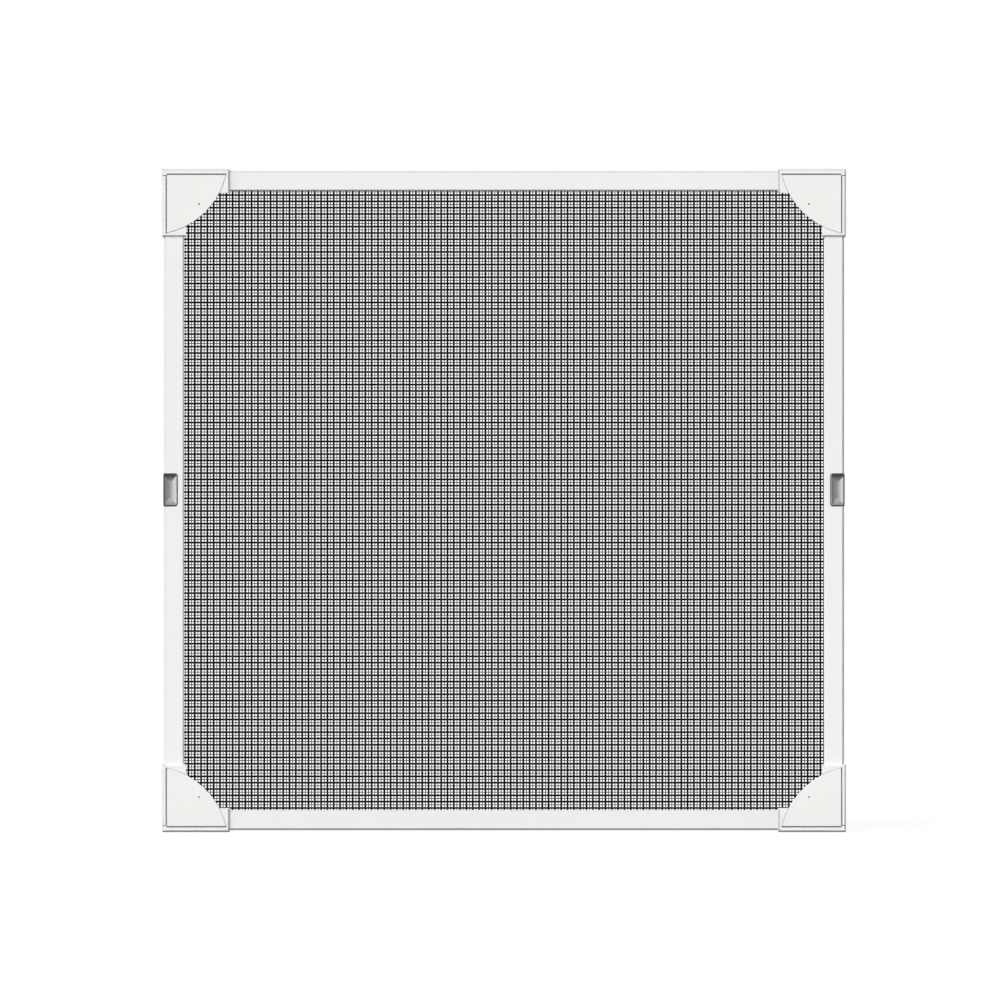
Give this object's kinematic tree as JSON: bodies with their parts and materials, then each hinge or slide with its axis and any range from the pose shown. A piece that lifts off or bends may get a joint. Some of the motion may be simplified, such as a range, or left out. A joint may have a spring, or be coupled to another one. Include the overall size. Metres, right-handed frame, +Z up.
{
  "type": "window screen frame",
  "caption": "Flat rectangular window insect screen: hollow bars joined by plastic corners with fan-shaped gusset covers, woven mesh held by spline, recessed finger pull at each side.",
  "frame": {"origin": "middle of the bottom edge, at the level of the lower corners' bottom faces and half way through the thickness", "axes": "+X to the right seen from the front, +Y from the front to the rear, +Z up"},
  "size_m": [0.684, 0.0134, 0.663],
  "materials": {
    "bar_coating": "white powder coat on extruded aluminium",
    "corner_plastic": "white moulded plastic, fine satin grain",
    "gusset_plastic": "white moulded plastic, fine satin grain",
    "mesh_yarn": "black coated glass-fibre yarn",
    "spline_cord": "black soft cord",
    "pull_metal": "satin grey lacquer on die-cast metal"
  },
  "bodies": {
    "root": {"corner_bottom_left": "corner_plastic", "corner_bottom_right": "corner_plastic", "corner_top_left": "corner_plastic", "corner_top_right": "corner_plastic", "finger_pull_left": "pull_metal", "finger_pull_right": "pull_metal", "frame_bar_bottom": "bar_coating", "frame_bar_left": "bar_coating", "frame_bar_right": "bar_coating", "frame_bar_top": "bar_coating", "gusset_cover_bottom_left": "gusset_plastic", "gusset_cover_bottom_right": "gusset_plastic", "gusset_cover_top_left": "gusset_plastic", "gusset_cover_top_right": "gusset_plastic", "insect_mesh": "mesh_yarn", "spline_bottom": "spline_cord", "spline_left": "spline_cord", "spline_right": "spline_cord", "spline_top": "spline_cord"}
  },
  "joints": []
}
